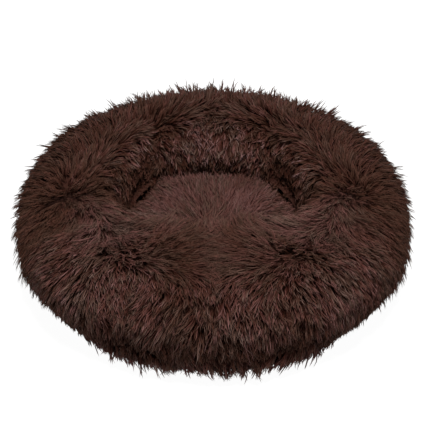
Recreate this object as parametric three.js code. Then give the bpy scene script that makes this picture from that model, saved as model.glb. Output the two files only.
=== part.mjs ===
// A round donut pet bed in shaggy plush: an overfilled bolster ring, drawn into six puffs
// by sewn pleats, round a crowned cushion, on a cloth base. It is sewn shut and nothing moves.
// Millimetres, +Z up. The origin is on the floor under the middle of the bed, and -Y is its front.
// Outer sizes are taken over the pile of the plush.

import * as THREE from 'three';

// Bolster ring: its profile in a puff
const OUTER_RADIUS = 297;
const GIRTH_HEIGHT = 77;
const CREST_RADIUS = 178;
const CREST_HEIGHT = 155;
const SIDE_OVERHANG = 19.8;
const BACK_OVERHANG = 40.8;
const BULGE_RISE = 21;
const LANDING_SHARE = 0.25;
const FOOT_HEIGHT = 1;

// How square each quarter of the profile is: 2 is an ellipse, more is squarer
const LOWER_SQUARENESS = 2.05;
const UPPER_SQUARENESS = 2.2;
const INNER_SQUARENESS = 2.1;
const PLEAT_SQUARENESS = 1.2;
const PLAN_SQUARENESS = 2.1;

// Pleats: six sewn folds from the inner seam over the crest, the ones at the sides longest
const SIDE_PUFF_SPAN = THREE.MathUtils.degToRad(56);
const PLEAT_CREST_DROP = 6;
const PLEAT_GIRTH_DROP = 2;
const PLEAT_OVERHANG = 6.8;
const PLEAT_BULGE_RISE = 3;
const PLEAT_SHARPNESS = 0.5;
const DIMPLE_DEPTH = 12;
const DIMPLE_LENGTH = 34;
const DIMPLE_SPAN = THREE.MathUtils.degToRad(7);
const SIDE_DIMPLE_RADIUS = 219;
const END_DIMPLE_RADIUS = 182;

// The front of the ring leans in over the cushion as one broad ridge, which its two pleats barely cut
const RIDGE_HALF_SPAN = THREE.MathUtils.degToRad(34);
const RIDGE_FADE = THREE.MathUtils.degToRad(30);
const RIDGE_OVERHANG = 67.8;
const RIDGE_BULGE_RISE = 39;
const RIDGE_CREST_RADIUS = 148;
const RIDGE_CREST_HEIGHT = 163;
const RIDGE_PLEAT_DROP = 3;

// Fold low round the front puffs, a quarter of the way from the girth up to the crest
const FOLD_SHARE = 0.25;
const FOLD_WIDTH_SHARE = 0.12;
const FOLD_HALF_SPAN = THREE.MathUtils.degToRad(52);
const FOLD_DEPTH = 5;

// Plush: backing cloth with its pile, full where it shows and pressed flat where it is tucked in
const PLUSH_DEPTH = 26;
const TUCKED_DEPTH = 12;
const SEAM_EDGE = 2.5;
const FOOT_EDGE = 5.7;

// Cushion in the middle
const CUSHION_RADIUS = 137.8;
const CUSHION_HEIGHT = 93;
const CUSHION_SQUARENESS = 4;
const CUSHION_PLUSH_DEPTH = 22;
const SEAM_HEIGHT = 33.7;
const GATHER_COUNT = 20;
const GATHER_DEPTH = 4;
const GATHER_START_SHARE = 0.7;

// Cloth and tape of the base and the inner seam
const BASE_RADIUS = 222;
const BASE_THICKNESS = 2.5;
const BINDING_WIDTH = 4.7;
const BINDING_RISE = 0.8;
const BINDING_HEIGHT = 5.4;
const DIVIDER_THICKNESS = 1.4;
const TAPE_THICKNESS = 1.4;
const TAPE_WIDTH = 12;
const TAPE_BELOW_SEAM = 3;

// Clearances: cloth against cloth, fibre against cloth, and bolster over cushion
const CLOTH_GAP = 0.3;
const FILL_GAP = 0.5;
const SEAT_GAP = 3.5;

// Steps of the meshes
const STEPS_PER_PUFF = 8;
const GATHER_STEPS = 3;
const FOOT_STEPS = 3;
const GIRTH_STEPS = 4;
const CREST_STEPS = 4;
const BULGE_STEPS = 2;
const SEAT_STEPS = 4;
const CUSHION_STEPS = 8;
const LINING_STEPS = 5;

// Places that follow from those sizes
const FULL_TURN = 2 * Math.PI;
const QUARTER_TURN = Math.PI / 2;
const FRONT = -QUARTER_TURN;
const SEAM_RADIUS = CUSHION_RADIUS + DIVIDER_THICKNESS + 2 * CLOTH_GAP;
const FOOT_RADIUS = BASE_RADIUS + BINDING_WIDTH + FOOT_EDGE + 2 * CLOTH_GAP;
const CORE_RADIUS = (SEAM_RADIUS + FOOT_RADIUS) / 2;
const CORE_HEIGHT = GIRTH_HEIGHT;
const FLOOR_OF_FILL = BASE_THICKNESS + CLOTH_GAP;

const mix = (from, to, share) => from + (to - from) * share;
const smooth = (low, high, value) => THREE.MathUtils.smoothstep(value, low, high);

// Azimuths of the six pleats, counted round from the right-hand side
function pleatAzimuths() {
  const sides = [0, Math.PI];
  const ends = [];
  for (const side of sides) {
    ends.push(side + SIDE_PUFF_SPAN, side - SIDE_PUFF_SPAN + FULL_TURN);
  }
  return [...sides, ...ends].map((azimuth) => azimuth % FULL_TURN).sort((a, b) => a - b);
}

const PLEATS = pleatAzimuths();

// The puff that holds an azimuth, and how far across it the azimuth lies
function placeInPuff(azimuth) {
  const turned = (azimuth + 2 * FULL_TURN) % FULL_TURN;
  const index = PLEATS.findLastIndex((pleat) => pleat <= turned);
  const start = PLEATS[index];
  const end = PLEATS[index + 1] ?? FULL_TURN;
  return (turned - start) / (end - start);
}

// 0 in the fold of a pleat, 1 on the middle of a puff
function fullness(azimuth) {
  return Math.sin(Math.PI * placeInPuff(azimuth)) ** PLEAT_SHARPNESS;
}

// How far a puff hangs over the cushion: the puff at the back leans in further than those at the sides
function puffOverhang(azimuth) {
  const atBack = Math.sin(azimuth) > Math.sin(SIDE_PUFF_SPAN);
  return atBack ? BACK_OVERHANG : SIDE_OVERHANG;
}

// How far the outline of a slightly squared circle lies out, as a share of its radius
function planShare(azimuth) {
  const across = Math.abs(Math.cos(azimuth)) ** PLAN_SQUARENESS;
  const along = Math.abs(Math.sin(azimuth)) ** PLAN_SQUARENESS;
  return (across + along) ** (-1 / PLAN_SQUARENESS);
}

// The angle from one azimuth to another, either way round
function angleBetween(azimuth, other) {
  return Math.abs(Math.atan2(Math.sin(azimuth - other), Math.cos(azimuth - other)));
}

// 1 along the front ridge, fading to 0 past its ends
function ridge(azimuth) {
  return 1 - smooth(RIDGE_HALF_SPAN, RIDGE_HALF_SPAN + RIDGE_FADE, angleBetween(azimuth, FRONT));
}

// A quarter of a rounded square, upright at the side point and level at the top or foot point
function quarterPoint(side, level, share, squareness) {
  const along = share * QUARTER_TURN;
  const cosine = Math.max(0, Math.cos(along)) ** (2 / squareness);
  const sine = Math.sin(along) ** (2 / squareness);
  return [mix(level[0], side[0], cosine), mix(side[1], level[1], sine)];
}

// Height at which the bolster rests on the cushion, at a radius from the middle
function seatHeight(radius) {
  const across = Math.min(1, radius / SEAM_RADIUS) ** CUSHION_SQUARENESS;
  return mix(SEAM_HEIGHT, CUSHION_HEIGHT + SEAT_GAP, (1 - across) ** (1 / CUSHION_SQUARENESS));
}

// Where the underside of a puff rests on the cushion, from the landing out to the seam
function seatPoint(landing, share) {
  const start = Math.acos(Math.min(1, (landing / SEAM_RADIUS) ** (CUSHION_SQUARENESS / 2)));
  const along = mix(start, 0, share);
  const radius = SEAM_RADIUS * Math.cos(along) ** (2 / CUSHION_SQUARENESS);
  const rise = Math.sin(along) ** (2 / CUSHION_SQUARENESS);
  return [radius, mix(SEAM_HEIGHT, CUSHION_HEIGHT + SEAT_GAP, rise)];
}

// Pull of the dimple at the outer end of each pleat
function dimple(azimuth, radius) {
  let depth = 0;
  for (const pleat of PLEATS) {
    const away = angleBetween(azimuth, pleat);
    const atSide = Math.abs(Math.sin(pleat)) < Math.sin(SIDE_PUFF_SPAN / 2);
    const centre = atSide ? SIDE_DIMPLE_RADIUS : END_DIMPLE_RADIUS;
    const across = (away / DIMPLE_SPAN) ** 2;
    const along = ((radius - centre) / DIMPLE_LENGTH) ** 2;
    depth += DIMPLE_DEPTH * Math.exp(-across - along);
  }
  return depth;
}

// The points and the shape that the bolster's profile is drawn through at one azimuth
function profileAt(azimuth) {
  const full = fullness(azimuth);
  const front = ridge(azimuth);
  const ridgeDistance = SEAM_RADIUS - RIDGE_OVERHANG;
  const towardsFront = Math.max(Math.cos(angleBetween(azimuth, FRONT)), ridgeDistance / SEAM_RADIUS);
  const overhang = mix(PLEAT_OVERHANG, puffOverhang(azimuth), full);
  const bulge = [
    mix(SEAM_RADIUS - overhang, ridgeDistance / towardsFront, front),
    CUSHION_HEIGHT + mix(mix(PLEAT_BULGE_RISE, BULGE_RISE, full), RIDGE_BULGE_RISE, front),
  ];
  const crestDrop = mix(PLEAT_CREST_DROP, RIDGE_PLEAT_DROP, front) * (1 - full);
  const crest = [
    mix(CREST_RADIUS, RIDGE_CREST_RADIUS, front),
    mix(CREST_HEIGHT, RIDGE_CREST_HEIGHT, front) - crestDrop,
  ];
  const girth = [OUTER_RADIUS * planShare(azimuth) - PLEAT_GIRTH_DROP * (1 - full), GIRTH_HEIGHT];
  const innerSquareness = mix(PLEAT_SQUARENESS, INNER_SQUARENESS, Math.max(full, front));
  const landing = mix(bulge[0], SEAM_RADIUS, LANDING_SHARE);
  return { azimuth, girth, crest, bulge, landing, innerSquareness };
}

function dimpled(profile, [radius, height]) {
  return [radius, height - dimple(profile.azimuth, radius)];
}

// A point of the profile drawn in towards the core of the ring by a depth
function drawnIn([radius, height], depth) {
  const toCore = [CORE_RADIUS - radius, CORE_HEIGHT - height];
  const draw = depth / Math.hypot(...toCore);
  return [radius + toCore[0] * draw, height + toCore[1] * draw];
}

// Depth of the fold: a bell curve across it, fading out round the front
function foldDepth(azimuth, share) {
  const across = ((share - FOLD_SHARE) / FOLD_WIDTH_SHARE) ** 2;
  const along = (angleBetween(azimuth, FRONT) / FOLD_HALF_SPAN) ** 4;
  return FOLD_DEPTH * Math.exp(-across - along);
}

// The five stretches of the outer face, from the foot round to the inner seam
function lowerSide(profile, share) {
  return quarterPoint(profile.girth, [FOOT_RADIUS, FOOT_HEIGHT], 1 - share, LOWER_SQUARENESS);
}

function upperSide(profile, share) {
  const point = quarterPoint(profile.girth, profile.crest, share, UPPER_SQUARENESS);
  return drawnIn(dimpled(profile, point), foldDepth(profile.azimuth, share));
}

function innerSlope(profile, share) {
  return dimpled(profile, quarterPoint(profile.bulge, profile.crest, 1 - share, profile.innerSquareness));
}

function underside(profile, share) {
  const landing = seatPoint(profile.landing, 0);
  const [radius, height] = quarterPoint(profile.bulge, landing, share, INNER_SQUARENESS);
  return [radius, Math.max(height, seatHeight(radius))];
}

function seat(profile, share) {
  return seatPoint(profile.landing, share);
}

const STRETCHES = [
  [lowerSide, FOOT_STEPS],
  [upperSide, GIRTH_STEPS],
  [innerSlope, CREST_STEPS],
  [underside, BULGE_STEPS],
  [seat, SEAT_STEPS],
];

// The same places on the inside of the plush, drawn in towards the core of the ring, from the inner
// seam round to the girth, with room left inside them if asked
function liningSection(profile, room) {
  const places = [
    [seat, 0.5, TUCKED_DEPTH],
    [underside, 0.5, PLUSH_DEPTH],
    [innerSlope, 0.5, PLUSH_DEPTH],
    [innerSlope, 0, PLUSH_DEPTH],
    [upperSide, 0.5, PLUSH_DEPTH],
    [upperSide, 0, PLUSH_DEPTH],
  ];
  return places.map(([stretch, share, depth]) => drawnIn(stretch(profile, share), depth + room));
}

// Azimuths of the mesh's steps, closer together beside each pleat
function ringStations() {
  const stations = [];
  for (const [index, start] of PLEATS.entries()) {
    const end = PLEATS[index + 1] ?? FULL_TURN;
    for (let step = 0; step < STEPS_PER_PUFF; step += 1) {
      const even = step / STEPS_PER_PUFF;
      const eased = (1 - Math.cos(Math.PI * even)) / 2;
      stations.push(mix(start, end, (even + eased) / 2));
    }
  }
  return stations;
}

function evenStations(count) {
  return Array.from({ length: count }, (_, step) => (FULL_TURN * step) / count);
}

function geometryFrom(positions, faces) {
  const geometry = new THREE.BufferGeometry();
  geometry.setAttribute('position', new THREE.Float32BufferAttribute(positions, 3));
  geometry.setIndex(faces);
  geometry.computeVertexNormals();
  return geometry;
}

// Distance between two vertices of a mesh in the making
function apart(positions, a, b) {
  const axes = [0, 1, 2];
  return Math.hypot(...axes.map((axis) => positions[3 * a + axis] - positions[3 * b + axis]));
}

// A ring whose closed section is given at each station, anticlockwise seen with the axis on the left
function ringGeometry(stations, sectionAt) {
  const positions = [];
  const faces = [];
  const sections = stations.map((azimuth) => sectionAt(azimuth));
  const around = sections[0].length;
  for (const [index, azimuth] of stations.entries()) {
    for (const [radius, height] of sections[index]) {
      positions.push(radius * Math.cos(azimuth), radius * Math.sin(azimuth), height);
    }
  }
  for (const index of stations.keys()) {
    const next = (index + 1) % stations.length;
    for (let point = 0; point < around; point += 1) {
      const following = (point + 1) % around;
      const a = index * around + point;
      const b = next * around + point;
      const c = next * around + following;
      const d = index * around + following;
      const rising = apart(positions, a, c) < apart(positions, b, d);
      faces.push(...(rising ? [a, b, c, a, c, d] : [a, b, d, b, c, d]));
    }
  }
  return geometryFrom(positions, faces);
}

// A round body whose section runs from the axis below, out and up, to the axis above
function domeGeometry(stations, sectionAt) {
  const positions = [];
  const faces = [];
  const sections = stations.map((azimuth) => sectionAt(azimuth));
  const rings = sections[0].length - 2;
  positions.push(0, 0, sections[0][0][1]);
  positions.push(0, 0, sections[0].at(-1)[1]);
  for (const [index, azimuth] of stations.entries()) {
    for (const [radius, height] of sections[index].slice(1, -1)) {
      positions.push(radius * Math.cos(azimuth), radius * Math.sin(azimuth), height);
    }
    const here = 2 + index * rings;
    const there = 2 + ((index + 1) % stations.length) * rings;
    faces.push(0, there, here);
    for (let ring = 0; ring + 1 < rings; ring += 1) {
      faces.push(here + ring, there + ring, there + ring + 1);
      faces.push(here + ring, there + ring + 1, here + ring + 1);
    }
    faces.push(1, here + rings - 1, there + rings - 1);
  }
  return geometryFrom(positions, faces);
}

const STATIONS = ringStations();

const cloth = (color, roughness) => new THREE.MeshStandardMaterial({ color, roughness, metalness: 0 });
const plush = cloth(0x3f2a25, 1);
const fibre = cloth(0xe8e5de, 1);
const baseCloth = cloth(0x241a17, 0.9);
const lining = cloth(0x4a3a34, 0.95);
const tape = cloth(0x1d1513, 0.85);

function piece(name, geometry, material) {
  const mesh = new THREE.Mesh(geometry, material);
  mesh.name = name;
  return mesh;
}

// Bolster cover: one sleeve of plush, open underneath between its foot and the inner seam
function bolsterCover() {
  return ringGeometry(STATIONS, (azimuth) => {
    const profile = profileAt(azimuth);
    const section = [lowerSide(profile, 0)];
    for (const [stretch, steps] of STRETCHES) {
      for (let step = 1; step <= steps; step += 1) {
        section.push(stretch(profile, step / steps));
      }
    }
    section.push([SEAM_RADIUS + SEAM_EDGE, SEAM_HEIGHT]);
    section.push(...liningSection(profile, 0));
    section.push([FOOT_RADIUS - FOOT_EDGE, FOOT_HEIGHT]);
    return section;
  });
}

// Bolster fill: the loose fibre that the sleeve holds, flat where it lies on the base
function bolsterFill() {
  const innerRadius = SEAM_RADIUS + SEAM_EDGE + FILL_GAP;
  const outerRadius = BASE_RADIUS - FILL_GAP;
  const overBinding = BINDING_RISE + BINDING_HEIGHT + FILL_GAP;
  return ringGeometry(STATIONS, (azimuth) => [
    ...liningSection(profileAt(azimuth), FILL_GAP).reverse(),
    [innerRadius, SEAM_HEIGHT],
    [innerRadius, FLOOR_OF_FILL],
    [outerRadius, FLOOR_OF_FILL],
    [outerRadius, overBinding],
  ]);
}

// The crowned profile of the cushion, from its edge at the seam up to the axis
function crown(radius, height, steps) {
  const points = [];
  for (let step = 0; step < steps; step += 1) {
    points.push(quarterPoint([radius, SEAM_HEIGHT], [0, height], step / steps, CUSHION_SQUARENESS));
  }
  return [...points, [0, height]];
}

// Cushion cover: a disc of plush, crowned, with its edge gathered down to the inner seam
function cushionCover() {
  const gathered = (radius, azimuth) => {
    const share = smooth(GATHER_START_SHARE * CUSHION_RADIUS, CUSHION_RADIUS, radius);
    return (GATHER_DEPTH * share * (1 - Math.cos(GATHER_COUNT * azimuth))) / 2;
  };
  return domeGeometry(evenStations(GATHER_COUNT * GATHER_STEPS), (azimuth) => {
    const drawn = ([radius, height]) => {
      const room = smooth(SEAM_HEIGHT, SEAM_HEIGHT + 2 * GATHER_DEPTH, height);
      return [radius, height - gathered(radius, azimuth) * room];
    };
    const under = crown(CUSHION_RADIUS - SEAM_EDGE, CUSHION_HEIGHT - CUSHION_PLUSH_DEPTH, LINING_STEPS);
    const over = crown(CUSHION_RADIUS, CUSHION_HEIGHT, CUSHION_STEPS);
    return [...under.reverse(), ...over.map(drawn)];
  });
}

// Cushion fill: a pad of fibre under the plush disc, flat on the base
function cushionFill() {
  const radius = CUSHION_RADIUS - SEAM_EDGE - FILL_GAP;
  const height = CUSHION_HEIGHT - CUSHION_PLUSH_DEPTH - FILL_GAP - GATHER_DEPTH;
  return domeGeometry(evenStations(GATHER_COUNT * 2), () => [
    [0, FLOOR_OF_FILL],
    [radius, FLOOR_OF_FILL],
    ...crown(radius, height, LINING_STEPS),
  ]);
}

// A band of cloth or tape standing on edge: inner radius, foot, thickness and height
function band(radius, foot, thickness, height) {
  return ringGeometry(STATIONS, () => [
    [radius, foot],
    [radius + thickness, foot],
    [radius + thickness, foot + height],
    [radius, foot + height],
  ]);
}

// Divider wall: the cloth band between the two fills, sewn into the inner seam and the base
function dividerWall() {
  const height = SEAM_HEIGHT - CLOTH_GAP - FLOOR_OF_FILL;
  return band(CUSHION_RADIUS + CLOTH_GAP, FLOOR_OF_FILL, DIVIDER_THICKNESS, height);
}

// Seam tape: the twill tape that holds the gathers of the inner seam
function seamTape() {
  const foot = SEAM_HEIGHT - TAPE_BELOW_SEAM - TAPE_WIDTH;
  return band(SEAM_RADIUS, foot, TAPE_THICKNESS, TAPE_WIDTH);
}

// Base panel: the cloth disc that the bed stands on
function basePanel() {
  return domeGeometry(STATIONS, () => [
    [0, 0],
    [BASE_RADIUS, 0],
    [BASE_RADIUS, BASE_THICKNESS],
    [0, BASE_THICKNESS],
  ]);
}

// Base binding: the folded tape round the seam of base panel and sleeve, rounded on top
function baseBinding() {
  const radius = BASE_RADIUS + CLOTH_GAP;
  const top = BINDING_RISE + BINDING_HEIGHT;
  const round = BINDING_WIDTH / 4;
  return ringGeometry(STATIONS, () => [
    [radius, BINDING_RISE],
    [radius + BINDING_WIDTH, BINDING_RISE],
    [radius + BINDING_WIDTH, top - round],
    [radius + BINDING_WIDTH - round, top],
    [radius + round, top],
    [radius, top - round],
  ]);
}

const bolster = new THREE.Group();
bolster.add(piece('bolster_cover', bolsterCover(), plush));
bolster.add(piece('bolster_fill', bolsterFill(), fibre));
bolster.add(piece('divider_wall', dividerWall(), lining));
bolster.add(piece('seam_tape', seamTape(), tape));

const cushion = new THREE.Group();
cushion.add(piece('cushion_cover', cushionCover(), plush));
cushion.add(piece('cushion_fill', cushionFill(), fibre));

const base = new THREE.Group();
base.add(piece('base_panel', basePanel(), baseCloth));
base.add(piece('base_binding', baseBinding(), tape));

const petBed = new THREE.Group();
petBed.add(bolster, cushion, base);

export default petBed;
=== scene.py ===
"""A round donut pet bed in shaggy plush, dressed round its packed construction model.

Metres, +Z up. The origin is on the floor under the middle of the bed and -Y is its front.
Azimuths run anticlockwise from +X, seen from above.
"""

import math

import bmesh
import bpy
import numpy as np
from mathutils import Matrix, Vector


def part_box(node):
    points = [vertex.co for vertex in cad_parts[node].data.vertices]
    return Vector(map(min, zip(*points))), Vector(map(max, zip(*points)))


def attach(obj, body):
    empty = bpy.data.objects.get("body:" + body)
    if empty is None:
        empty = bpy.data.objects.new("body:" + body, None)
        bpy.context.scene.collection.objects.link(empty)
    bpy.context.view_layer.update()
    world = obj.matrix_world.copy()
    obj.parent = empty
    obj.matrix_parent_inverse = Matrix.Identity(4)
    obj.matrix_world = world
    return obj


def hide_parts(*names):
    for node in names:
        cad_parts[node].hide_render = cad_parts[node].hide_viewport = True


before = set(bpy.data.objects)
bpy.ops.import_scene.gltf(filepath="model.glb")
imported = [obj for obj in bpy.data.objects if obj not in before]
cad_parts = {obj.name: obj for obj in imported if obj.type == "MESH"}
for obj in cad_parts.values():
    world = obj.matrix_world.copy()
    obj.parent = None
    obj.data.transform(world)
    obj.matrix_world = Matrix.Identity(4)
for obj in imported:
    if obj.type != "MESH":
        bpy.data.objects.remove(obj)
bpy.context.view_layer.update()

TAU = 2 * math.pi
FRONT = -math.pi / 2
CORNER = math.radians(30)

# Bolster ring: the mean surface of its pile, as the construction model draws it
OUTER_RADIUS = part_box("bolster_cover")[1].y
GIRTH_HEIGHT = 0.077
CREST_RADIUS = 0.178
CREST_HEIGHT = 0.155
SIDE_OVERHANG = 0.0198
BACK_OVERHANG = 0.0408
BULGE_RISE = 0.021
LANDING_SHARE = 0.25
FOOT_HEIGHT = 0.001
FOOT_RADIUS = 0.233
LOWER_SQUARENESS = 2.05
UPPER_SQUARENESS = 2.2
INNER_SQUARENESS = 2.1
PLEAT_SQUARENESS = 1.2
PLAN_SQUARENESS = 2.1

# Pleats: six sewn folds, one at each side, two at the back and two at the front
SIDE_PUFF_SPAN = math.radians(56)
PLEATS = np.radians([0, 56, 124, 180, 236, 304])
CREASES = np.radians([0, 48, 132, 180, 236, 304])
CREASE_SKEW = math.radians(12)
CREASE_HALF_SPAN = math.radians(6.5)
CREASE_DEPTH = 0.008
CREASE_BACK_SINES = (0.2, 0.6)
CREASE_AT_SIDE = 0.6
CREASE_RIDGE_LOSS = 0.8
CREASE_TOP_PLACES = (1.85, 2.05)
CREASE_FOOT_PLACES = (3.4, 3.0)
CREASE_SKEW_PLACES = 1.2
PLEAT_CREST_DROP = 0.006
PLEAT_GIRTH_DROP = 0.002
PLEAT_OVERHANG = 0.0068
PLEAT_BULGE_RISE = 0.003
PLEAT_SHARPNESS = 0.5
DIMPLE_DEPTH = 0.012
DIMPLE_LENGTH = 0.034
DIMPLE_SPAN = math.radians(7)
SIDE_DIMPLE_RADIUS = 0.219
END_DIMPLE_RADIUS = 0.182

# Front ridge, which leans in over the cushion
RIDGE_HALF_SPAN = math.radians(34)
RIDGE_FADE = math.radians(30)
RIDGE_OVERHANG = 0.0678
RIDGE_BULGE_RISE = 0.039
RIDGE_CREST_RADIUS = 0.148
RIDGE_CREST_HEIGHT = 0.163
RIDGE_PLEAT_DROP = 0.003

# Cushion and inner seam
CUSHION_RADIUS = 0.1378
CUSHION_HEIGHT = 0.093
CUSHION_SQUARENESS = 4
SEAM_HEIGHT = 0.0337
SEAM_RADIUS = 0.1398
SEAT_GAP = 0.0035
CUSHION_TOP_SHARE = 0.985
CUSHION_EDGE_SHARE = 0.8
GATHER_COUNT = 20
GATHER_DEPTH = 0.004
GATHER_START_SHARE = 0.7

# Backing cloth: its outer face lies under the pile, its inner face where the construction model has it
PILE_DEPTH = 0.0125
CREST_PILE_DEPTH = 0.012
WALL_PILE_DEPTH = 0.014
LINING_DEPTH = 0.026
TUCKED_DEPTH = 0.012
EDGE_DEPTH = 0.003
DEPTHS_BY_PLACE = (
    (0, 0.45, PILE_DEPTH),
    (1.1, 1.7, CREST_PILE_DEPTH),
    (2.2, 2.7, WALL_PILE_DEPTH),
    (3.4, 4.1, 0),
)
DIMPLE_DEPTH_LOSS = 0.55
CUSHION_PILE_DEPTH = 0.015
CUSHION_LINING_DEPTH = 0.022
SEAM_EDGE = 0.0025
FOOT_EDGE = 0.0057
CORE_RADIUS = (SEAM_RADIUS + FOOT_RADIUS) / 2
CORE_HEIGHT = GIRTH_HEIGHT
SECTION_STEPS = 12

# Fold low round the front puffs, where the pile above hangs over the pile below
FOLD_PLACE = 1.16
FOLD_WAVE = 0.03
FOLD_SCALLOPS = 3
FOLD_WIDTH = 0.07
FOLD_REACH = (-6, 4)
FOLD_HALF_SPAN = math.radians(52)
FOLD_DEPTH = 0.010

# Pile: tufts of strands
BOLSTER_TUFTS = 21500
CUSHION_TUFTS = 3400
BOLSTER_PILE_PLACES = (0.08, 3.8)
CUSHION_PILE_PLACES = (0.2, 1)
PANEL_PLACE = 1.3
STRANDS_IN_TUFT = 4
STRAND_LENGTH = 0.039
STRAND_WIDTH = 0.0018
STRAND_RINGS = ((0.3, 0.45), (0.56, 0.5), (0.8, 0.38))
TUFT_SPREAD = 0.0010
FLOOR_CLEARANCE = 0.0006
TIP_REACH = 0.0105
TIP_HEIGHT = RIDGE_CREST_HEIGHT + 0.0095
EVEN_STEPS = (0.7548776662466927, 0.5698402909980532)
SPREAD_JITTER = 0.35

# How the strands of one tuft differ
ROOT_STRAY = 0.06
TIP_STRAY = 0.1
STRAND_LENGTHS = (0.72, 1.08)
STRAND_WIDTHS = (0.7, 1.2)
STRAND_PACES = (0.8, 1.2)
DRAW_NOISE = 0.15
SWAY_NOISE = 0.0008
PHASE_NOISE = 0.5
TONE_STEP = 0.002

# Zones of the ring's pile, each the product of other zones and of S-curves: over what, from 0 at, to 1 at
ZONES = {
    "foot": [("place", 0.6, 0.2)],
    "low": [("place", 1.0, 0.5)],
    "nest": [("place", 1.97, 2.2)],
    "landing": [("place", 2.8, 3.2)],
    "rear": [("sine", -0.2, 0.3)],
    "flank": [("cosine", 0.3, 0.7)],
    "shoulder": [("cosine", 0.35, 0.7), ("sine", 0.1, -0.2)],
    "shoulder_top": ["shoulder", ("place", 1.6, 1.8)],
    "aside": [("cosine", 0.4, 0.8), ("place", 1.95, 1.6)],
    "beside": ["aside", ("sine", 0.5, 0.1)],
    "dim_aside": ["aside", ("sine", -0.85, -0.55)],
    "ahead": [("sine", -0.3, -0.8), ("place", 1.85, 1.5)],
    "straight": [("sine", -0.5, -0.8), ("place", 1.85, 1.55)],
    "lower_front": [("sine", -0.25, -0.6), ("place", 1.85, 1.6)],
    "lower_corner": ["lower_front", ("cosine", 0.4, 0.65)],
    "outer_ridge": ["front", ("place", 2.0, 1.6)],
    "inner_ridge": ["front", ("place", 1.9, 2.3)],
    "rear_crest": ["rear", ("place", 1.2, 1.6), ("place", 2.3, 2.0)],
    "nest_wall": ["nest", "rear"],
    "wall_end": ["nest_wall", ("cosine", 0.65, 0.85)],
    "wall_foot": ["nest_wall", ("place", 2.5, 2.95)],
    "corner": ["nest_wall", "towards_corner", ("place", 2.2, 2.6)],
    "over_fold": [("above_fold", 0.2, 1.0), ("above_fold", 4.0, 1.5)],
    "under_fold": [("above_fold", 0.2, -0.6), ("above_fold", -5.5, -3.0)],
    "hollow": ["towards_hollow", "under_fold"],
}
CALM_PLACE = 1.88
CALM_WIDTH = 0.22
CORNER_WIDTH = 0.26
HOLLOW_AZIMUTH = math.radians(25)
HOLLOW_WIDTH = math.radians(11)
POCKET_WIDTH = 2.2

# Degrees that each zone lifts a tuft off the backing, at its root and at its tip
LIFTS = {
    "everywhere": (31, 6),
    "raised_crest": (14, 18),
    "flat_shoulder": (-18, -8),
    "dimple": (24, 24),
    "nest": (-14, -12),
    "calm": (-8, -16),
    "low": (-14, -16),
    "over_fold": (6, 16),
    "wild": (8, 20),
}

# Share of its length that a tuft gains in each zone
LENGTHS = {
    "wild": 0.2,
    "dimple": -0.3,
    "nest": -0.1,
    "landing": -0.45,
    "outer_ridge": 0.15,
    "low": -0.5,
    "foot": -0.35,
    "over_fold": 0.25,
    "crease": -0.4,
    "corner": -0.6,
    "pocket": -0.35,
}
UNDER_FOLD_LOSS = 0.5
HOLLOW_LOSS = 0.2

# What each zone adds to a tuft's tone, which runs from 0 at the darkest to 1 at the lightest; some of these
# are painted light and shade, as marked
TONES = {
    "everywhere": 0.42,
    "nest_wall": 0.10,
    "inner_ridge": -0.05,
    "shoulder_crest": 0.1,
    "lower_front": -0.09,
    "lower_corner": 0.12,
    # Painted shade on the rear crest, which faces away from the lamp in front
    "rear_crest": -0.12,
    "low": 0.03,
    "soft": -0.16,
    # Painted highlight on the tips that hang over the fold
    "over_fold": 0.1,
    # Painted shade under the fold, in its hollows and pockets, in the nest's creases and in the dimples
    "under_fold": -0.55,
    "hollow": -0.5,
    "pocket": -0.4,
    "crease": -0.5,
    "dimple": -0.22,
    "dim_aside": -0.28,
    "calm": -0.17,
    # Painted shade in the nest's corners and along the foot of its wall over the cushion
    "corner": -1.0,
    "wall_foot": -0.3,
    "wall_end": -0.2,
}

# How crisp the locks of each zone are, of which the highest counts
CRISPNESS = {"lower_front": 1, "nest_wall": 1, "low": 0.9, "dimple": 0.7, "rear": 0.8, "not_calm": 0.2}

# What each zone adds to the other looks of a tuft
LOOKS = {
    "mottle": {"everywhere": 0.03, "crisp": 0.13, "nest_wall": 0.14},
    "sway": {"everywhere": 0.0016, "crisp": 0.0006, "nest_wall": 0.0016, "lower_front": 0.0006},
    "draw": {"everywhere": 0.55, "crisp": 0.4, "calm": -0.1},
}
TONE_NOISE = {"everywhere": 0.02, "crisp": 0.11, "nest_wall": 0.1}
RED_EDGE = {"everywhere": -0.04, "rear": 0.08, "low": -0.6}

# Parting of the pile on the crest: places and half widths at the front and at the rear, and its shifts
PARTING_PLACES = (1.97, 1.93)
PARTING_WIDTHS = (0.42, 0.25)
PARTING_SHIFT_AT_SIDE = 0.17
PARTING_SHIFT_IN_FRONT = 0.1
PARTING_SHIFT_LENGTH = 0.04

# Fans of pile round the dimples
WHORL_LENGTH = 0.055
WHORL_SHIFT = 0.009
WHORL_SINES = (0.2, -0.4)
WHORL_AT_REAR = 0.2
TUFTY_AT_REAR = 0.3
TUFTY_OFFSET = (0, -0.002, 0)
TUFTY_REACH = (0.038, 0.022, 0.022)
MEETING_LENGTH = 0.065
WILD_SHARE = 0.09
DROOP = 0.5

# Looks of every tuft of the cushion, with where the painted shade at its roots starts
CUSHION_LOOKS = {"width": 0.6 * STRAND_WIDTH, "mottle": 0.11, "root_shade_start": 0.28, "sway": 0.0022, "draw": 0.5}
CUSHION_CORNER_WIDTH = 0.3
CUSHION_CORNER_RADII = (0.086, 0.110)

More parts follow.
